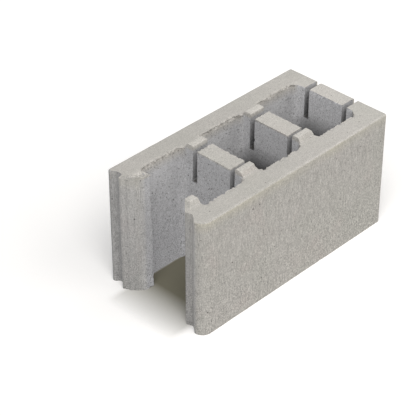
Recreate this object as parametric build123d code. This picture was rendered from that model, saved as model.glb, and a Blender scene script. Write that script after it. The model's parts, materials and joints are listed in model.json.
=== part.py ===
from build123d import *
import math
import os

# Overall block, in millimetres; the height is bed to bed, without the nibs
block_length = 400
block_width = 195
shell_height = 200

# Face shells and webs, measured at the top of the block
shell_thickness = 33.5
web_thickness = 31
web_spacing = 123.5
end_web_thickness = 29
web_fillet = 12
end_web_fillet = 17

# Each core leaves the cell this much narrower per side at the bed than at the top
core_draft = 1.5

# Upright corners of the closed end, and the worn arris round the top
closed_corner_radius = 3.5
arris_radius = 3

# Flanges that narrow the mouth of the open end, with a lead-in at 45 degrees
flange_reach = 23
flange_length = 37
lead_in_radius = 2
mouth_radius = 8
flange_tip_radius = 3
flange_root_fillet = 7

# Tongue side of the open end: lip, groove and tongue, from the outer face inwards
lip_width = 6.5
lip_setback = 4
lip_radius = 4
groove_depth = 10
groove_flank = 6
groove_radius = 3
tongue_offset = 27.5
tongue_width = 4
tongue_flank = 3
tongue_step = 4.5
tongue_radius = 1.5
flange_face_width = 4.5

# Nose side of the open end, which fits the tongue side of a block turned half round
nose_radius = 16
nose_width = 19
nose_bevel = 2
nose_flank = 10
nose_lip_setback = 6.5

# Slots that free a knock-out panel in each web, and the shoulders between slot and shell
shoulder_width = 22.2
panel_rise = 3
slot_width = 8.8
slot_floor_width = 7.4
slot_depth = 52
slot_floor_radius = 3

# Locating nibs beside the slots and on the flanges
nib_rise = 8
nib_top_width = 11
nib_flank = 6
nib_end_slope = 0.6
nib_ramp = 7
nib_edge_radius = 2

# How far a cut runs past the face that it opens
overrun = 6

# Places that follow from the sizes above
half_length = block_length / 2
half_width = block_width / 2
cell_half_width = half_width - shell_thickness
mouth_half_width = cell_half_width - flange_reach
tongue_outer = half_width - tongue_offset
tongue_inner = tongue_outer - tongue_width
tongue_foot = tongue_inner - tongue_step
lead_outer = tongue_foot - flange_face_width
lead_in = lead_outer - mouth_half_width
flange_back = flange_length - half_length
slot_outer = cell_half_width - shoulder_width
slot_inner = slot_outer - slot_width
panel_width = slot_inner * 2
web_centres = (-web_spacing / 2, web_spacing / 2)
end_web_face = half_length - end_web_thickness
end_web_centre = half_length - end_web_thickness / 2
nib_top = shell_height + nib_rise
draft_angle = math.degrees(math.atan2(core_draft, shell_height))


def outlined(corners):
    """Face inside a closed outline of (first, second, radius) corners."""
    points = [(first, second) for first, second, radius in corners]
    radii = [radius for first, second, radius in corners]
    return make_face(FilletPolyline(*points, radius=radii, close=True))


def tongue_end():
    """Corners of the open end on the +Y shell, from its outer face to the mouth."""
    lip_inner = half_width - lip_width
    corners = [
        (lip_setback, half_width, lip_radius),
        (lip_setback, lip_inner, 0),
        (groove_depth, lip_inner - groove_flank, groove_radius),
        (groove_depth, tongue_outer + tongue_flank, groove_radius),
        (0, tongue_outer, tongue_radius),
        (0, tongue_inner, tongue_radius),
        (tongue_step, tongue_foot, tongue_radius),
        (tongue_step, lead_outer, lead_in_radius),
        (tongue_step + lead_in, mouth_half_width, mouth_radius),
    ]
    return [(setback - half_length, across, radius) for setback, across, radius in corners]


def nose_end():
    """Corners of the open end on the -Y shell, from the mouth to its outer face."""
    nose_inner = half_width - nose_width
    corners = [
        (nose_lip_setback + lead_in, mouth_half_width, mouth_radius),
        (nose_lip_setback, lead_outer, lead_in_radius),
        (groove_depth, nose_inner - nose_flank, groove_radius),
        (nose_bevel, nose_inner, 0),
        (0, nose_inner + nose_bevel, 0),
        (0, half_width, nose_radius),
    ]
    return [(setback - half_length, -across, radius) for setback, across, radius in corners]


def block_outline():
    """Plan of the block, with the mouth as a notch that ends inside the open cell."""
    mouth_floor = flange_back + overrun
    closed_end = [
        (half_length, -half_width, closed_corner_radius),
        (half_length, half_width, closed_corner_radius),
    ]
    mouth_end = [
        (mouth_floor, mouth_half_width, 0),
        (mouth_floor, -mouth_half_width, 0),
    ]
    return outlined(closed_end + tongue_end() + mouth_end + nose_end())


def cell_outline(near, far, far_fillet):
    """Plan of a closed cell between two webs, at the top of the block."""
    return outlined([
        (near, -cell_half_width, web_fillet),
        (far, -cell_half_width, far_fillet),
        (far, cell_half_width, far_fillet),
        (near, cell_half_width, web_fillet),
    ])


def open_cell_outline(far):
    """Plan of the open cell and its way out between the flanges."""
    outside = -half_length - overrun
    return outlined([
        (outside, -mouth_half_width, 0),
        (flange_back, -mouth_half_width, flange_tip_radius),
        (flange_back, -cell_half_width, flange_root_fillet),
        (far, -cell_half_width, web_fillet),
        (far, cell_half_width, web_fillet),
        (flange_back, cell_half_width, flange_root_fillet),
        (flange_back, mouth_half_width, flange_tip_radius),
        (outside, mouth_half_width, 0),
    ])


def core(outline):
    """Core that leaves a cell, full size at the top and drafted in towards the bed."""
    straight = extrude(Plane.XY.offset(-overrun) * outline, amount=shell_height + overrun)
    floor_and_top = straight.faces().filter_by(Axis.Z)
    walls = [face for face in straight.faces() if face not in floor_and_top]
    return draft(walls, Plane.XY.offset(shell_height), -draft_angle)


def across_web(profile, centre, thickness):
    """Prism of a profile drawn across the block, through one web."""
    return extrude(Plane.YZ.offset(centre) * profile, amount=thickness / 2, both=True)


def slot_pair(centre, thickness):
    """The two slots that free the knock-out panel of a web."""
    narrowing = (slot_width - slot_floor_width) / 2
    floor = shell_height - slot_depth
    above = nib_top + overrun
    profile = outlined([
        (slot_inner + narrowing, floor, slot_floor_radius),
        (slot_outer - narrowing, floor, slot_floor_radius),
        (slot_outer, shell_height, 0),
        (slot_outer, above, 0),
        (slot_inner, above, 0),
        (slot_inner, shell_height, 0),
    ])
    slot = across_web(profile, centre, thickness + overrun)
    return slot + mirror(slot, about=Plane.XZ)


def panel_top(centre):
    """Raised top of an inner web's knock-out panel."""
    return Pos(centre, 0, shell_height) * Box(
        web_thickness,
        panel_width,
        panel_rise,
        align=(Align.CENTER, Align.CENTER, Align.MIN),
    )


def nib_pair(near, far, inner, near_slope):
    """Two nibs on top of the block, each with an upright inner face and sloping ends."""
    base = shell_height - overrun
    flank_top = inner + nib_top_width
    section = Polyline(
        (inner, base),
        (flank_top + nib_flank, base),
        (flank_top + nib_flank, shell_height),
        (flank_top, nib_top),
        (inner, nib_top),
        close=True,
    )
    side = Polyline(
        (near, shell_height),
        (far, shell_height),
        (far - nib_end_slope, nib_top),
        (near + near_slope, nib_top),
        close=True,
    )
    middle = (near + far) / 2
    ridge = across_web(make_face(section), middle, far - near + overrun)
    nib = ridge & extrude(Plane.XZ * make_face(side), amount=-half_width)
    nib = fillet(nib.edges().group_by(Axis.Z)[-1], nib_edge_radius)
    return nib + mirror(nib, about=Plane.XZ)


def concrete_block():
    """The whole casting, standing on its bed with the open end towards -X."""
    block = extrude(block_outline(), amount=shell_height)
    long_arrises = block.edges().group_by(Axis.Z)[-1].filter_by(Axis.X).sort_by(Axis.Y)
    block = fillet((long_arrises[0], long_arrises[-1]), arris_radius)

    first_web, second_web = web_centres
    half_web = web_thickness / 2
    block -= core(open_cell_outline(first_web - half_web))
    block -= core(cell_outline(first_web + half_web, second_web - half_web, web_fillet))
    block -= core(cell_outline(second_web + half_web, end_web_face, end_web_fillet))

    for centre in web_centres:
        block += panel_top(centre)
        block += nib_pair(centre - half_web, centre + half_web, slot_outer, nib_end_slope)
        block -= slot_pair(centre, web_thickness)
    block -= slot_pair(end_web_centre, end_web_thickness)

    # A flange nib ramps down to the lead-in, and stays inside the plan of the block
    ramp_start = max(tongue_step, nose_lip_setback) + lead_in - nib_ramp - half_length
    flange_nibs = nib_pair(ramp_start, flange_back, mouth_half_width, nib_ramp)
    block += flange_nibs & extrude(block_outline(), amount=nib_top)
    return block


os.makedirs("parts", exist_ok=True)
export_step(concrete_block(), "parts/concrete_block.step")
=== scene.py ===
# %% [markdown]
# # A concrete block, from clean casting to worn masonry
# The block is one casting: two face shells, three webs, an open end that locks into its neighbour, and
# small nibs on top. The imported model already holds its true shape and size, so it is loaded first and kept
# as the measure of everything else. Only the skin of the block is made here: crumbled rims, a broken nib
# and a grainy, streaked, slightly porous surface.

# %% Load the frame
import json
import math

import bmesh
import bpy
import numpy as np
from mathutils import Color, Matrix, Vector

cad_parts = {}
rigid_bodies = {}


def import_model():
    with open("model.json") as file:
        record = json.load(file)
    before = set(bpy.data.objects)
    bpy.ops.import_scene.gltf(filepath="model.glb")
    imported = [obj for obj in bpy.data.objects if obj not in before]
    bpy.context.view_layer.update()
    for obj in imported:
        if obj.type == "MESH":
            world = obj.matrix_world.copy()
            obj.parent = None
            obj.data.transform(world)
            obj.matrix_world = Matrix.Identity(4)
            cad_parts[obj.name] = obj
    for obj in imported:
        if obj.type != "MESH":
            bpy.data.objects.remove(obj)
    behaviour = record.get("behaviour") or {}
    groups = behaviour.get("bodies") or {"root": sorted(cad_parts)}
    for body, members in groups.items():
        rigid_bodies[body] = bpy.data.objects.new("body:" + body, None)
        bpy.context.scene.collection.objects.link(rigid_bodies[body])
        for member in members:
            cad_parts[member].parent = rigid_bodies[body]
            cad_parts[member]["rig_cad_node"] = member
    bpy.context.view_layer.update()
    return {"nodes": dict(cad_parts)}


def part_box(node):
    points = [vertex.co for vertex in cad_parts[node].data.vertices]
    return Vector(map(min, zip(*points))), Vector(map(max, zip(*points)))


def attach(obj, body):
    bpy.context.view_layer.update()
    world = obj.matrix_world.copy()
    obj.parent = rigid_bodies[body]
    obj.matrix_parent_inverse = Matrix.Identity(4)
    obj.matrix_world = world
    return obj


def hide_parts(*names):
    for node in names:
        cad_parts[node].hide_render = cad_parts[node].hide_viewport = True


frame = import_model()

casting = frame["nodes"]["concrete_block"]
low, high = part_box("concrete_block")
print("block, mm:", [round(size * 1000, 1) for size in high - low])

# %% [markdown]
# ## Camera
# The block is seen from above its open end, at about 45 degrees to its length and 35 degrees down. A long
# lens keeps the edges nearly parallel. A camera can be turned by angles, or by a direction that it looks
# along. The direction is used here, because it is easy to read off and `to_track_quat` turns it into a
# rotation.

# %% Add the camera
image_side = 416
focal_pixels = 1600
look_azimuth = math.radians(44.06)
look_drop = math.radians(35.52)
camera_place = Vector((-1.462, -1.329, 1.489))


def direction(azimuth, height):
    """Unit vector at an angle round from +X and an angle above the floor."""
    level = math.cos(height)
    return Vector((math.cos(azimuth) * level, math.sin(azimuth) * level, math.sin(height)))


bpy.ops.object.select_all(action="DESELECT")
bpy.ops.object.camera_add(location=camera_place)
camera = bpy.context.object
camera.data.lens = focal_pixels / image_side * camera.data.sensor_width
camera.rotation_euler = direction(look_azimuth, -look_drop).to_track_quat("-Z", "Y").to_euler()
bpy.context.scene.camera = camera
print("lens, mm:", round(camera.data.lens, 1))

# %% [markdown]
# ## Studio floor and light
# The block stands on a white sweep in soft light. A pale surround lights it from everywhere, a wide lamp
# high above the camera reaches down into the cells, and a weaker, lower one off to the right makes the
# faces differ and throws a faint shadow to the left. The floor is plain diffuse paint. To the camera it is
# painted whiter than to the light that bounces on to the block, so the background comes out white while
# the block is lit at a plain level and its shadow stays. Under the cells and in the mouth a shadow is
# painted on it for the camera, as a darker warm grey, a little lighter under the closed cells.

# %% Helpers for node trees
# A Mix node has its sockets once for each kind of data, and these are the ones for colours
mix_colour_inputs = (6, 7)
mix_colour_output = 2


def add_node(tree, kind, values=None, **settings):
    """Adds one node, sets its properties, then its inputs: a value, or an output to link from."""
    made = tree.nodes.new(kind)
    for name, setting in settings.items():
        setattr(made, name, setting)
    for name, value in (values or {}).items():
        if isinstance(value, bpy.types.NodeSocket):
            tree.links.new(value, made.inputs[name])
        else:
            made.inputs[name].default_value = value
    return made


def maths(tree, operation, first, second=0.0):
    """Output of a Math node."""
    return add_node(tree, "ShaderNodeMath", {0: first, 1: second}, operation=operation).outputs[0]


def product(tree, *values):
    """Product of several outputs and numbers."""
    total = values[0]
    for value in values[1:]:
        total = maths(tree, "MULTIPLY", total, value)
    return total


def mapped(tree, value, start, end, least, most):
    """A value carried from one range to another, and held at its ends."""
    inputs = {"Value": value, "From Min": start, "From Max": end, "To Min": least, "To Max": most}
    return add_node(tree, "ShaderNodeMapRange", inputs).outputs["Result"]


def mixed(tree, factor, first, second, blend="MIX"):
    """Mix of two colours, each a colour or an output."""
    inputs = {"Factor": factor, mix_colour_inputs[0]: first, mix_colour_inputs[1]: second}
    made = add_node(tree, "ShaderNodeMix", data_type="RGBA", blend_type=blend, values=inputs)
    return made.outputs[mix_colour_output]


def seen_directly(tree):
    """1 where a ray comes straight from the camera, or by way of a mirror or through glass."""
    path = add_node(tree, "ShaderNodeLightPath").outputs
    seen = maths(tree, "MAXIMUM", path["Is Camera Ray"], path["Is Glossy Ray"])
    return maths(tree, "MAXIMUM", seen, path["Is Transmission Ray"])


# %% Floor
floor_size = 16
floor_bounce = (0.44, 0.44, 0.44, 1)
floor_seen = (1.13, 1.125, 1.12, 1)
# A shadow painted on the floor, seen only by the camera: a darker warm grey under the cells and in the mouth
floor_painted_shadow = (0.195, 0.185, 0.140, 1)
painted_shadow_sides = (0.060, 0.072)
painted_shadow_front = (low.x - 0.040, low.x + 0.045)
painted_shadow_back = (high.x - 0.030, high.x)
first_web = (-0.075, -0.048)
shadow_under_closed_cells = 0.75

bpy.ops.object.select_all(action="DESELECT")
bpy.ops.mesh.primitive_plane_add(size=floor_size)
floor = bpy.context.object
floor.name = "floor"
floor_paint = bpy.data.materials.new("white floor")
floor_paint.use_nodes = True
tree = floor_paint.node_tree
tree.nodes.clear()
floor_place = add_node(tree, "ShaderNodeTexCoord").outputs["Object"]
spot = add_node(tree, "ShaderNodeSeparateXYZ", {0: floor_place}).outputs
# Where the painted shadow lies: between the shells, from just in front of the mouth to the end web
painted_shadow_mask = product(
    tree,
    mapped(tree, maths(tree, "ABSOLUTE", spot["Y"]), *painted_shadow_sides, 1, 0),
    mapped(tree, spot["X"], *painted_shadow_front, 0, 1),
    mapped(tree, spot["X"], *painted_shadow_back, 1, 0),
    mapped(tree, spot["X"], *first_web, 1, shadow_under_closed_cells),
)
floor_shown = mixed(tree, painted_shadow_mask, floor_seen, floor_painted_shadow)
floor_colour = mixed(tree, seen_directly(tree), floor_bounce, floor_shown)
paint = add_node(tree, "ShaderNodeBsdfDiffuse", {"Color": floor_colour})
add_node(tree, "ShaderNodeOutputMaterial", {"Surface": paint.outputs[0]})
floor.data.materials.append(floor_paint)
print("floor:", floor_size, "m")

# %% Lamps
def add_lamp(azimuth, height, strength, spread, colour):
    """Soft lamp far off: azimuth from +X and height above the floor, in degrees."""
    towards = direction(math.radians(azimuth), math.radians(height))
    bpy.ops.object.light_add(type="SUN")
    lamp = bpy.context.object
    lamp.rotation_euler = (-towards).to_track_quat("-Z", "Y").to_euler()
    lamp.data.energy = strength
    lamp.data.angle = math.radians(spread)
    lamp.data.color = colour
    print("lamp:", strength, "from", azimuth, "degrees")


add_lamp(azimuth=-136, height=55, strength=2.03, spread=45, colour=(1.0, 0.98, 0.95))
add_lamp(azimuth=-64, height=36, strength=0.82, spread=50, colour=(1.0, 0.97, 0.92))

# %% Surround
surround_light = {"Color": (0.97, 0.99, 1.03, 1), "Strength": 0.30}
surround_seen = {"Color": (1, 1, 1, 1), "Strength": 1}

world = bpy.data.worlds.new("studio")
bpy.context.scene.world = world
world.use_nodes = True
tree = world.node_tree
tree.nodes.clear()
surround = add_node(tree, "ShaderNodeBackground", surround_light)
backdrop = add_node(tree, "ShaderNodeBackground", surround_seen)
choice = {0: seen_directly(tree), 1: surround.outputs[0], 2: backdrop.outputs[0]}
shown = add_node(tree, "ShaderNodeMixShader", choice)
add_node(tree, "ShaderNodeOutputWorld", {"Surface": shown.outputs[0]})
bpy.context.scene.view_settings.view_transform = "Standard"
print("surround:", surround_light["Strength"])

# %% [markdown]
# ## A copy of the casting
# The casting itself is never changed. A copy of it is merged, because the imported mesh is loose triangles,
# and this copy becomes the worn block. First its edges are traced: on a real block the sharp edges are
# where the mix crumbles. The tracings are loose lines, in sets: the torn rims of the cells on the tongue
# side, the firmer ones on the nose side, the panel tops, and all sharp edges together.

# %% Copy the casting
def only(piece):
    """Selects one object and makes it the active one."""
    bpy.ops.object.select_all(action="DESELECT")
    piece.select_set(True)
    bpy.context.view_layer.objects.active = piece


def copied(piece, name):
    """A copy with a mesh of its own."""
    only(piece)
    bpy.ops.object.duplicate()
    made = bpy.context.object
    made.name = name
    return made


merge_distance = 1e-6
block = copied(casting, "block")
del block["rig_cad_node"]
bpy.ops.object.mode_set(mode="EDIT")
bpy.ops.mesh.select_all(action="SELECT")
bpy.ops.mesh.remove_doubles(threshold=merge_distance)
bpy.ops.object.mode_set(mode="OBJECT")
print("merged copy:", len(block.data.vertices), "points")

# %% Trace its edges
nib_height = 0.008
shell_top = high.z - nib_height
panel_top = shell_top + 0.003
cell_side = 0.0645
nib_foot = 0.0600
flange_back = low.x + 0.037
end_web = high.x - 0.030
closed_edge = high.x - 0.010
close_by = 0.001
sharp = math.radians(40)


def traced(name, keep):
    """Loose lines along the outer sharp edges of the copy whose two ends satisfy keep."""
    lines = copied(block, name)
    bpy.ops.object.mode_set(mode="EDIT")
    bpy.ops.mesh.select_mode(type="EDGE")
    mesh = bmesh.from_edit_mesh(lines.data)
    for edge in mesh.edges:
        outer = edge.is_convex and edge.calc_face_angle(0) > sharp
        edge.select_set(not (outer and all(keep(end.co) for end in edge.verts)))
    bpy.ops.mesh.delete(type="EDGE_FACE")
    bpy.ops.object.mode_set(mode="OBJECT")
    print(name, len(lines.data.edges), "edges")
    return lines


def on_cell_rim(end):
    """True on the rims of the cells, but not on the nibs, the panels or the outer ends."""
    on_top = abs(end.z - shell_top) < close_by and abs(end.y) < cell_side
    clear_of_nibs = abs(end.y) > nib_foot or end.x > end_web
    return on_top and clear_of_nibs and flange_back - close_by < end.x < closed_edge


def on_torn_rim(end):
    """True on the cell rims of the tongue side."""
    return on_cell_rim(end) and end.y > 0 and end.x < end_web


def on_firm_rim(end):
    """True on the cell rims of the nose side and of the end web."""
    return on_cell_rim(end) and (end.y < 0 or end.x > end_web)


torn_lines = traced("torn_lines", on_torn_rim)
firm_lines = traced("firm_lines", on_firm_rim)
panel_lines = traced("panel_lines", lambda end: abs(end.z - panel_top) < close_by)
edge_lines = traced("edge_lines", lambda end: True)

# %% [markdown]
# ## An even skin
# Wear needs points to move, and the casting has hardly any on its flat faces. A remesh lays an even skin
# over the copy. A voxel remesh would round every edge off, so the sharp kind is used, which keeps them. The
# copy could also be subdivided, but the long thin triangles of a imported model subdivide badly.

# %% Remesh
skin_depth = 9
skin_scale = 0.6


def applied(kind, name, **settings):
    """Adds a modifier to the block with these settings and applies it."""
    only(block)
    modifier = block.modifiers.new(name, kind)
    for setting, value in settings.items():
        setattr(modifier, setting, value)
    bpy.ops.object.modifier_apply(modifier=modifier.name)


applied("REMESH", "skin", mode="SHARP", octree_depth=skin_depth, scale=skin_scale)
skin_step = (high.x - low.x) / skin_scale / 2**skin_depth
print("skin:", len(block.data.vertices), "points,", round(skin_step * 1000, 2), "mm apart")

# %% [markdown]
# ## Where it wears
# A vertex group says how strongly a change acts on each point. Vertex Weight Proximity fills a group from
# the distance to the traced lines, so the wear follows every edge without being painted by hand.

# %% Weights near the edges
def weighted(group, lines, reach):
    """Vertex group that is 1 on the lines and falls to 0 at the reach."""
    made = block.vertex_groups.new(name=group)
    made.add(range(len(block.data.vertices)), 1, "REPLACE")
    applied(
        "VERTEX_WEIGHT_PROXIMITY",
        group,
        vertex_group=group,
        target=lines,
        proximity_mode="GEOMETRY",
        proximity_geometry={"EDGE"},
        min_dist=reach,
        max_dist=0,
        falloff_type="SMOOTH",
    )
    print(group, "within", reach * 1000, "mm")


weighted("torn rims", torn_lines, reach=0.006)
weighted("firm rims", firm_lines, reach=0.006)
weighted("panels", panel_lines, reach=0.004)
weighted("edges", edge_lines, reach=0.003)

# %% [markdown]
# ## Broken nib
# On the tongue side the nib of the flange has broken away. What is left is a ridge along the front edge
# of the flange and a hollow behind it. It could be cut with a boolean, but that leaves clean edges. By hand
# it is three moves in edit mode: the nib is squashed flat, then the front edge is pulled up and the hollow
# pushed down. Proportional editing lets these two moves fade out.

# %% Squash the nib
squash = 0.1


def select_points(test):
    """Selects the block's points where the array test is true, in object mode."""
    count = len(block.data.vertices)
    places = np.empty(count * 3)
    block.data.vertices.foreach_get("co", places)
    chosen = test(*places.reshape(-1, 3).T)
    block.data.vertices.foreach_set("select", chosen)
    block.data.edges.foreach_set("select", np.zeros(len(block.data.edges), bool))
    block.data.polygons.foreach_set("select", np.zeros(len(block.data.polygons), bool))
    return np.flatnonzero(chosen)


def on_nib(x, y, z):
    """The nib of the flange on the tongue side."""
    on_flange = (x < flange_back + close_by) & (y > 0) & (y < nib_foot)
    return on_flange & (z > shell_top + close_by / 2)


only(block)
chosen = select_points(on_nib)
bpy.ops.object.mode_set(mode="EDIT")
bpy.ops.mesh.select_mode(type="VERT")
bpy.ops.transform.resize(value=(1, 1, squash), center_override=(flange_back, 0, shell_top))
bpy.ops.object.mode_set(mode="OBJECT")
print("nib points squashed:", len(chosen))

# %% Raise the ridge and sink the hollow
lead_in_line = low.x + 0.0615
ridge_width = 0.004
ridge_back = low.x + 0.022
ridge_start, ridge_end = 0.044, 0.060
hollow_x, hollow_y = flange_back - 0.009, 0.050
hollow_width = 0.004


def on_ridge(x, y, z):
    """The front edge of the flange, along the lead-in, which runs at 45 degrees."""
    front = (x + y < lead_in_line + ridge_width) & (x < ridge_back)
    return front & (y > ridge_start) & (y < ridge_end) & (z > shell_top - close_by / 2)


def in_hollow(x, y, z):
    """The top of the flange behind its front edge."""
    return (np.hypot(x - hollow_x, y - hollow_y) < hollow_width) & (z > shell_top - close_by / 2)


def lift(test, rise, reach):
    """Moves the chosen points up or down, and the points within reach of them less."""
    chosen = select_points(test)
    bpy.ops.object.mode_set(mode="EDIT")
    bpy.ops.transform.translate(
        value=(0, 0, rise),
        use_proportional_edit=True,
        proportional_edit_falloff="SMOOTH",
        proportional_size=reach,
    )
    bpy.ops.object.mode_set(mode="OBJECT")
    print("points lifted", round(rise * 1000, 1), "mm:", len(chosen))


lift(on_ridge, rise=0.0048, reach=0.009)
lift(in_hollow, rise=-0.0035, reach=0.008)

# %% Mark the break
break_start, break_end = 0.0425, 0.062
break_depth = 0.005


def on_break(x, y, z):
    """The rough top of the flange, behind its front edge."""
    behind = (x + y > lead_in_line + ridge_width / 2) & (x < flange_back - close_by)
    return behind & (y > break_start) & (y < break_end) & (z > shell_top - break_depth)


break_group = block.vertex_groups.new(name="break")
chosen = select_points(on_break)
break_group.add(chosen.tolist(), 1, "REPLACE")
print("points on the break:", len(chosen))

# %% [markdown]
# ## Crumbling
# The rims of a real block lose grains and small lumps as it leaves the mould and is handled. They could be
# carved by hand with a sculpting brush. Displace does it evenly: it moves points along their normals by the
# value of a noise texture. A coarse cloud makes the rims wander, a finer one crumbles them, and a cloud with
# its low part cut off by a ramp breaks out single chips. A weak one over the whole block takes the machine
# flatness out of its faces. The rims on the nose side held better, so they get less.

# %% Helpers for crumbling
def cloud(name, grain, depth=1, ramp=None):
    """Cloud noise with features of about the grain, or, with a ramp, only its peaks."""
    texture = bpy.data.textures.new(name, "CLOUDS")
    texture.noise_basis = "IMPROVED_PERLIN"
    texture.noise_scale = grain
    texture.noise_depth = depth
    if ramp:
        texture.use_color_ramp = True
        for stop, position, shade in zip(texture.color_ramp.elements, ramp, (0, 1)):
            stop.position = position
            stop.color = (shade, shade, shade, 1)
    return texture


def displaced(name, texture, height, group="", middle=0.5):
    """Pushes the block's skin in and out by the texture."""
    applied(
        "DISPLACE",
        name,
        texture=texture,
        texture_coords="LOCAL",
        strength=height,
        mid_level=middle,
        vertex_group=group,
    )
    print(name, round(height * 1000, 1), "mm")


# %% Crumble the rims
wander_height = 0.0068
crumb_height = 0.0076
chip_height = -0.0040
rim_shares = {"torn rims": 1, "firm rims": 0.4}

rim_wander = cloud("rim wander", grain=0.008, depth=2)
rim_crumbs = cloud("rim crumbs", grain=0.0034)
rim_chips = cloud("rim chips", grain=0.011, ramp=(0.58, 0.66))
for rims, share in rim_shares.items():
    displaced("wandering " + rims, rim_wander, wander_height * share, rims, middle=0.55)
    displaced("crumbled " + rims, rim_crumbs, crumb_height * share, rims, middle=0.54)
    displaced("chipped " + rims, rim_chips, chip_height * share, rims, middle=0)

# %% Wear the panels, the break and the edges
panel_crumbs = cloud("panel crumbs", grain=0.0036)
break_crumbs = cloud("break crumbs", grain=0.0035)
edge_wear = cloud("edge wear", grain=0.004, depth=2)
edge_chips = cloud("edge chips", grain=0.012, ramp=(0.64, 0.70))
face_swell = cloud("face swell", grain=0.03, depth=2)

displaced("crumbled panels", panel_crumbs, height=0.0036, group="panels", middle=0.54)
displaced("rough break", break_crumbs, height=0.0055, group="break", middle=0.52)
displaced("worn edges", edge_wear, height=0.0007, group="edges", middle=0.6)
displaced("chipped edges", edge_chips, height=-0.0014, group="edges", middle=0)
displaced("uneven faces", face_swell, height=0.0005)

# %% [markdown]
# ## A lighter skin
# The even skin has more triangles than a piece should carry. A coarser remesh would lose the crumbs.
# Decimate takes points away where the surface is flat and leaves the crumbled rims. The weights of the
# edges and of the break are then kept as attributes of their own, so that the material can read them.

# %% Thin the skin
most_triangles = 186000


def triangle_count():
    """Triangles of the block's skin."""
    return sum(len(face.vertices) - 2 for face in block.data.polygons)


applied("DECIMATE", "thinned", ratio=most_triangles / triangle_count())
bpy.ops.object.shade_smooth_by_angle(angle=sharp)
print("triangles:", triangle_count())

# %% Keep the weights for the finish
def kept_weights(group, name):
    """Keeps the weights of a vertex group as an attribute of the points."""
    index = block.vertex_groups[group].index
    weights = np.zeros(len(block.data.vertices))
    for point in block.data.vertices:
        for member in point.groups:
            if member.group == index:
                weights[point.index] = member.weight
    kept = block.data.attributes.new(name, "FLOAT", "POINT")
    kept.data.foreach_set("value", weights)
    print(name, "points:", np.count_nonzero(weights))


kept_weights("edges", "wear")
kept_weights("break", "broken")
for lines in (torn_lines, firm_lines, panel_lines, edge_lines):
    bpy.data.objects.remove(lines)

# %% [markdown]
# ## Concrete
# Dry-cast concrete is a warm pale grey of sand, cement and fine stone. Its faces are dragged by the mould
# as the block is pushed out, which leaves faint upright streaks. Small pores stay open, and rims are paler
# where they are rubbed. The insides of the cells are painted a colder grey, partly their own tint and
# partly the cool tint of the shade in them. The finish could be painted on to an image, but noise on Object
# coordinates has no seams and stays sharp close up. These coordinates are in metres, so the scale of each
# noise is one over the size of its features.

# %% Start the finish
concrete = bpy.data.materials.new("concrete")
concrete.use_nodes = True
tree = concrete.node_tree
tree.nodes.clear()
coordinates = add_node(tree, "ShaderNodeTexCoord").outputs
place = coordinates["Object"]
axes = add_node(tree, "ShaderNodeSeparateXYZ", {0: place}).outputs
facing = add_node(tree, "ShaderNodeSeparateXYZ", {0: coordinates["Normal"]}).outputs


def times(*values):
    """Product of masks, noises and numbers in the concrete."""
    return product(tree, *values)


def carried(value, source, target):
    """A value carried from one range to another, and held at its ends."""
    return mapped(tree, value, *source, *target)


def rising(value, start, end):
    """0 below the start, 1 above the end."""
    return carried(value, (start, end), (0, 1))


def falling(value, start, end):
    """1 below the start, 0 above the end."""
    return carried(value, (start, end), (1, 0))


def absolute(value):
    """A value without its sign."""
    return maths(tree, "ABSOLUTE", value)


def near(value, middle, half, margin):
    """1 within half a width of the middle, and 0 past a margin outside it."""
    return falling(absolute(maths(tree, "SUBTRACT", value, middle)), half, half + margin)


def tinted(mask, strength):
    """A factor that is 1 outside a mask and this strength inside it."""
    return carried(mask, (0, 1), (1, strength))


print("concrete started")

# %% [markdown]
# ## Where a face lies
# A mask is a number from 0 to 1 that says how much a place belongs to a part of the block. Masks could be
# painted by hand as vertex colours. Here they are worked out from the place and the direction of the
# surface, so that they stay exact however the skin is cut up.

# %% Masks by direction and place
fade = 0.002
facing_up = (0.5, 0.8)
facing_level = (0.3, 0.6)
lead_in_depth = (low.x + 0.014, low.x + 0.026)

across = absolute(axes["Y"])
upward = rising(facing["Z"], *facing_up)
upright = falling(absolute(facing["Z"]), *facing_level)
between_shells = falling(across, cell_side, cell_side + fade)
behind_lead_in = rising(axes["X"], *lead_in_depth)
before_end = falling(axes["X"], high.x - 2 * fade, high.x - fade / 2)
below_top = falling(axes["Z"], shell_top - fade / 2, shell_top + fade)
among_cells = times(between_shells, behind_lead_in, before_end)
inside = times(among_cells, below_top, tinted(upward, 0))
print("masks for the cells")

# %% Masks for slots, nibs and panels
slot_middle, slot_half = 0.0374, 0.0046
slot_floor = shell_top - 0.054
panel_half = 0.033
web_front = low.x + 0.105
nib_crown = (shell_top + 0.0050, shell_top + 0.0070)
flank_from, flank_to = (0.3, 0.5), (0.7, 0.85)

in_slot = times(
    near(across, slot_middle, slot_half, fade / 4),
    rising(axes["X"], web_front, web_front + fade),
    rising(axes["Z"], slot_floor, slot_floor + fade / 2),
    before_end,
    below_top,
)
on_slot_floor = times(in_slot, upward)
on_nibs = times(upward, rising(axes["Z"], *nib_crown))
sloping = times(rising(facing["Z"], *flank_from), falling(facing["Z"], *flank_to))
on_flanks = times(sloping, rising(axes["Z"], shell_top + fade / 2, shell_top + fade))
on_panels = times(upward, falling(across, panel_half, panel_half + fade / 4))
print("masks for slots, nibs and panels")

# %% Masks for bands and corners
band_depth = 0.020
rim_shade_depth = 0.005
corner_slant = (0.2, 0.45)

on_shell_wall = times(inside, rising(across, nib_foot - 3 * fade, nib_foot))
under_rim = times(on_shell_wall, rising(axes["Z"], shell_top - band_depth, shell_top - fade))
at_rim = times(on_shell_wall, rising(axes["Z"], shell_top - rim_shade_depth, shell_top - fade))
near_top = rising(axes["Z"], shell_top - band_depth, shell_top - 2 * fade)
top_band = times(upright, near_top, tinted(among_cells, 0))
slant = times(absolute(facing["X"]), absolute(facing["Y"]))
in_corner = times(inside, rising(slant, *corner_slant))
print("masks for bands and corners")

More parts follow.
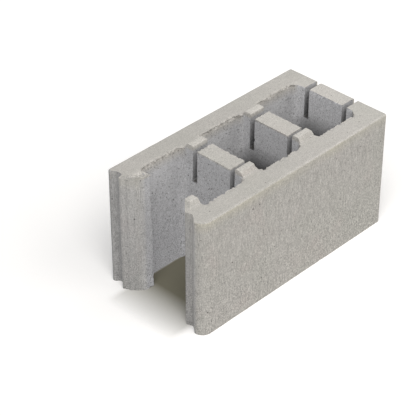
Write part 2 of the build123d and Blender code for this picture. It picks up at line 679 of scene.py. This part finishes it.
# %% Masks at the open end
mouth_depth = (low.x + 0.012, low.x + 0.022)
mouth_sides = (0.080, 0.086)
set_back = (low.x + 0.0020, low.x + 0.0035)
groove_bottom = (low.x + 0.012, low.x + 0.014)
strip_middle, strip_half = -0.0675, 0.0105
flank_middle, flank_half = -0.0735, 0.0060
groove_edge = 0.0725
facing_out = (-0.5, -0.2)
facing_mouth = (0.3, 0.5)

in_mouth_depth = falling(axes["X"], *mouth_depth)
at_mouth = times(upright, in_mouth_depth, falling(across, *mouth_sides))
beside_nose = near(axes["Y"], strip_middle, strip_half, fade / 2)
beside_tongue = rising(axes["Y"], groove_edge, groove_edge + fade / 2)
in_groove_depth = falling(axes["X"], *groove_bottom)
in_groove = times(
    maths(tree, "MAXIMUM", beside_nose, beside_tongue),
    rising(axes["X"], *set_back),
    in_groove_depth,
    falling(facing["X"], *facing_out),
)
tongue_lip = times(in_groove, beside_tongue)
nose_flank = times(
    near(axes["Y"], flank_middle, flank_half, fade / 2),
    in_groove_depth,
    rising(facing["Y"], *facing_mouth),
)
print("masks for the open end")

# %% [markdown]
# ## Colour
# The greys differ a little from place to place: patches of a greener and a pinker grey over the shells, a
# paler band along the top of the outer faces, a colder grey in the cells and at the open end, which is
# partly their own tint and partly the cool tint of shade painted in, a browner band under the cell rims,
# and the rubbed tops of the nibs paler still. Each grey is laid over the ones before it by a mask, so that
# any one of them can be changed alone.

# %% Greys
def linear(red, green, blue):
    """A colour written in 0 to 255 screen values, as the linear colour that nodes use."""
    screen = Color((red / 255, green / 255, blue / 255))
    return [*screen.from_srgb_to_scene_linear(), 1]


warm_grey = linear(190, 187, 182)
green_grey = linear(187, 185, 179)
pink_grey = linear(192, 186, 181)
pale_grey = linear(197, 193, 181)
# Partly the block's own colder tint and partly the cool tint of shade, painted in
cool_tint_and_shade_grey = linear(195, 195, 197)
brown_grey = linear(184, 179, 170)
white_grey = linear(206, 203, 197)
pore_grey = linear(78, 74, 70)
print("warm grey:", [round(value, 3) for value in warm_grey])

# %% Colour patches
def noise(size, detail=2.0, roughness=0.5, vector=None):
    """Noise with features of about this size in metres, from 0 to 1."""
    inputs = {"Vector": vector or place, "Scale": 1 / size, "Detail": detail, "Roughness": roughness}
    return add_node(tree, "ShaderNodeTexNoise", inputs).outputs["Fac"]


def moved(shift):
    """Coordinates for another stretch of a noise."""
    return add_node(tree, "ShaderNodeMapping", {"Vector": place, "Location": shift}).outputs[0]


green_peaks = (0.40, 0.65)
pink_peaks = (0.55, 0.75)
pale_peaks = (0.35, 0.60)
pale_shares = (0.5, 1)
pink_on_top = 0.25

pink_noise = noise(size=0.07, detail=3, vector=moved((3, 5, 7)))
pale_noise = noise(size=0.04)
green_patch = rising(noise(size=0.11, detail=3), *green_peaks)
pink_patch = times(rising(pink_noise, *pink_peaks), tinted(upward, pink_on_top))
pale_patch = times(top_band, carried(pale_noise, pale_peaks, pale_shares))
layers = (
    (green_patch, 1, green_grey),
    (pink_patch, 1, pink_grey),
    (pale_patch, 1, pale_grey),
    # The colder grey at the open end, in the groove and in the cells is partly painted cool shade
    (at_mouth, 0.4, cool_tint_and_shade_grey),
    (tongue_lip, 0.6, cool_tint_and_shade_grey),
    (inside, 1, cool_tint_and_shade_grey),
    (under_rim, 0.8, brown_grey),
    (on_nibs, 0.6, white_grey),
)
patches = warm_grey
for mask, share, grey in layers:
    patches = mixed(tree, times(mask, share), patches, grey)
print("colour layers:", len(layers))

# %% [markdown]
# ## Streaks, grain and sand
# Each of these is a noise of its own size: fine streaks where the mould dragged the face, broad faint
# streaks, grain, and cells that give every grain of sand its own shade. They are added up around 1, and
# the sum is later multiplied with the colour. The streaks are strongest below the pale band and weaker near
# the bed, where the grain shows more.

# %% Noises
sand_size = 0.0015


def stretched(tallness):
    """Coordinates for a noise whose features are this many times taller than wide."""
    inputs = {"Vector": place, "Scale": (1, 1, 1 / tallness)}
    return add_node(tree, "ShaderNodeMapping", inputs).outputs[0]


dragged = noise(size=0.0012, roughness=0.6, vector=stretched(11))
grains = noise(size=0.0011, roughness=0.6, vector=stretched(2))
broad_streaks = noise(size=0.007, vector=stretched(14))
blotches = noise(size=0.016, detail=4, roughness=0.6)
sand_cells = add_node(tree, "ShaderNodeTexVoronoi", {"Vector": place, "Scale": 1 / sand_size})
sand = add_node(tree, "ShaderNodeSeparateColor", {0: sand_cells.outputs["Color"]}).outputs[0]
print("streaks, grain and sand")

# %% How much of each
drag_heights, drag_shares = (0.02, 0.09), (0.35, 0.56)
grain_heights, grain_shares = (0.03, 0.12), (2.2, 1.2)
drag_strength = 1.7
broad_strength = 0.09
sand_strengths = (0.20, 0.18)
blotch_peaks, blotch_shades = (0.3, 0.7), (0.97, 1.03)

drag_share = times(
    upright,
    carried(axes["Z"], drag_heights, drag_shares),
    tinted(at_mouth, 0.85),
    tinted(inside, 0.35),
    tinted(top_band, 0.5),
)
grain_share = times(
    carried(axes["Z"], grain_heights, grain_shares),
    tinted(top_band, 0.7),
    tinted(inside, 0.9),
)
changes = (
    (dragged, times(drag_share, drag_strength)),
    (broad_streaks, times(upright, tinted(inside, 0.5), broad_strength)),
    (grains, grain_share),
    (sand, carried(upward, (0, 1), sand_strengths)),
)
variation = 1
for change, strength in changes:
    centred = maths(tree, "SUBTRACT", change, 0.5)
    variation = maths(tree, "ADD", variation, times(centred, strength))
grain_shade = times(variation, carried(blotches, blotch_peaks, blotch_shades))
print("changes of shade:", len(changes))

# %% [markdown]
# ## Shades from place to place
# Only the rubbed edges are lighter from wear. The rest is painted light and shade: the tops at the far end,
# the panel tops, the lower insides of the cells, the faces of the rear webs, the walls of the open cell and
# a flank of the nose are painted lighter; the top of the tongue-side shell, the corners, the nib flanks, the
# faces of the open end and their foot, the grooves and the walls just under the rims are painted darker.
# The closed cells get much darker with depth, and so do the narrow slots. Soft light alone leaves them too
# pale, so their depth is painted by height. The break is mottled with painted highlights and shade, with a
# painted dark hollow. Each shade is one mask and one strength, and all of them are multiplied.

# %% Masks for the edges and the break
worn_range = (0.4, 1)
broken_range = (0.5, 0.9)
painted_relief_peaks, painted_relief_shades = (0.35, 0.65), (0.94, 1.22)
hollow_peaks, hollow_shares = (0.40, 0.56), (0.5, 1)

wear_amount = add_node(tree, "ShaderNodeAttribute", attribute_name="wear").outputs["Fac"]
break_amount = add_node(tree, "ShaderNodeAttribute", attribute_name="broken").outputs["Fac"]
on_worn_edge = rising(wear_amount, *worn_range)
on_break_top = rising(break_amount, *broken_range)
# Painted highlights and shade over the break, for a relief that the soft light hardly shows
painted_break_relief = carried(noise(size=0.0035, detail=1), painted_relief_peaks, painted_relief_shades)
# Painted shade in the hollow behind the ridge
hollow = times(
    on_break_top,
    near(axes["X"], hollow_x, hollow_width, 2 * fade),
    near(axes["Y"], hollow_y, hollow_width, 2 * fade),
    carried(noise(size=0.004), hollow_peaks, hollow_shares),
)
print("masks for the edges and the break")

# %% Masks by depth and distance
far_end = (-0.05, 0.17)
rear_cells = (-0.03, 0.17)
open_cell = (-0.10, -0.06)
closed_cells = (-0.050, -0.044)
facing_open_end = (-0.8, -0.5)
low_inside = (0.02, 0.13)
low_face = (0, 0.15)
dark_depth = (0.123, 0.162)
wall_start, wall_delay = 0.036, 0.026
slot_places, slot_floor_shades = (-0.05, 0.05), (0.42, 0.25)
slot_top_shade = 0.85

# Places that are painted lighter or darker for the light and shade that fall on them
far_top = times(upward, rising(axes["X"], *far_end))
tongue_top = times(upward, rising(axes["Y"], cell_side, cell_side + fade))
deep_inside = times(inside, falling(axes["Z"], *low_inside))
open_wall = times(on_shell_wall, falling(axes["X"], *open_cell))
rear_webs = times(inside, falling(facing["X"], *facing_open_end), rising(axes["X"], *rear_cells))
low_mouth = times(at_mouth, falling(axes["Z"], *low_face))
# Near the shells the darkness starts lower down than in the middle of a web
delay = carried(across, (wall_start, cell_side), (0, wall_delay))
dark = falling(maths(tree, "ADD", axes["Z"], delay), *dark_depth)
closed_depth = times(inside, rising(axes["X"], *closed_cells), dark)
# Painted shade in the slots, darkest at their floor and further back in the block
slot_floor_shade = carried(axes["X"], slot_places, slot_floor_shades)
slot_shade = carried(axes["Z"], (slot_floor, shell_top), (slot_floor_shade, slot_top_shade))
print("masks by depth and distance")

# %% Shades
# All shades but the first are painted light and shade; only the worn edges are lighter from wear
shades = (
    (on_worn_edge, 1.04),
    (far_top, 1.09),
    (tongue_top, 0.95),
    (on_panels, 1.06),
    (deep_inside, 1.20),
    (rear_webs, 1.26),
    (in_corner, 0.92),
    (on_flanks, 0.93),
    (at_mouth, 0.95),
    (low_mouth, 0.88),
    (in_groove, 0.90),
    (tongue_lip, 0.90),
    (nose_flank, 1.3),
    (at_rim, 0.86),
    (open_wall, 1.05),
    (on_break_top, painted_break_relief),
    (hollow, 0.70),
    (closed_depth, 0.24),
    (in_slot, slot_shade),
    (on_slot_floor, 0.4),
)
shade = grain_shade
for mask, strength in shades:
    shade = times(shade, tinted(mask, strength))
print("shades:", len(shades))

# %% [markdown]
# ## Pores
# Air leaves small round holes. They could be cut one by one, but most are finer than the skin. A Voronoi
# texture puts one point in each cell of a loose grid, and a hole is drawn round some of these points, with
# a radius by lot. The walls of the block's cells have finer pits as well, which are the peaks of a noise.

# %% Pores and pits
pore_spacing = 0.007
pore_lots, pore_radii = (0.74, 1), (-0.05, 0.21)
pore_edge = 0.05
smaller_on_top = 0.05
pore_darkness = 0.8
pit_peaks, pit_darkness = (0.63, 0.74), (0, 0.65)

pore_grid = {"Vector": place, "Scale": 1 / pore_spacing}
pore_cells = add_node(tree, "ShaderNodeTexVoronoi", pore_grid).outputs
lot = add_node(tree, "ShaderNodeSeparateColor", {0: pore_cells["Color"]}).outputs[0]
full_radius = carried(lot, pore_lots, pore_radii)
pore_radius = maths(tree, "SUBTRACT", full_radius, times(upward, smaller_on_top))
past_radius = maths(tree, "SUBTRACT", pore_cells["Distance"], pore_radius)
below_nibs = falling(axes["Z"], shell_top + fade / 2, shell_top + fade)
pores = times(falling(past_radius, -pore_edge, 0), below_nibs, pore_darkness)
pits = times(inside, carried(noise(size=0.0024, detail=1), pit_peaks, pit_darkness))
holes = maths(tree, "MAXIMUM", pores, pits)
print("pores and pits")

# %% [markdown]
# ## The whole finish
# The greys are multiplied with the shades, and the holes are painted over them. The same grain, streaks
# and holes raise and sink the surface a little through a Bump node. It changes only how the light falls,
# which is enough for relief finer than the skin. Concrete is rough and hardly shines.

# %% Shader
grain_relief = 0.5
drag_relief = 0.5
hole_relief = 1.4
relief_depth = 0.0008
bump_strengths = (0.7, 0.55)
rough_peaks, roughness_range = (0.3, 0.7), (0.82, 0.97)
shine = 0.25

grey_shade = add_node(tree, "ShaderNodeCombineColor", {0: shade, 1: shade, 2: shade}).outputs[0]
surface = mixed(tree, 1, patches, grey_shade, "MULTIPLY")
surface = mixed(tree, holes, surface, pore_grey)
relief = maths(tree, "ADD", times(grains, grain_relief), noise(size=0.006))
relief = maths(tree, "ADD", relief, times(dragged, drag_share, drag_relief))
relief = maths(tree, "SUBTRACT", relief, times(holes, hole_relief))
bump_strength = carried(upward, (0, 1), bump_strengths)
bump_inputs = {"Height": relief, "Strength": bump_strength, "Distance": relief_depth}
finish = {
    "Base Color": surface,
    "Roughness": carried(noise(size=0.004), rough_peaks, roughness_range),
    "Specular IOR Level": shine,
    "Normal": add_node(tree, "ShaderNodeBump", bump_inputs).outputs[0],
}
shader = add_node(tree, "ShaderNodeBsdfPrincipled", finish)
add_node(tree, "ShaderNodeOutputMaterial", {"Surface": shader.outputs[0]})
block.data.materials.clear()
block.data.materials.append(concrete)
print("concrete:", len(tree.nodes), "nodes")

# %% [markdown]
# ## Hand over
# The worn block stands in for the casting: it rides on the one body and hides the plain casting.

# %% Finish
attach(block, "root")
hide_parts("concrete_block")
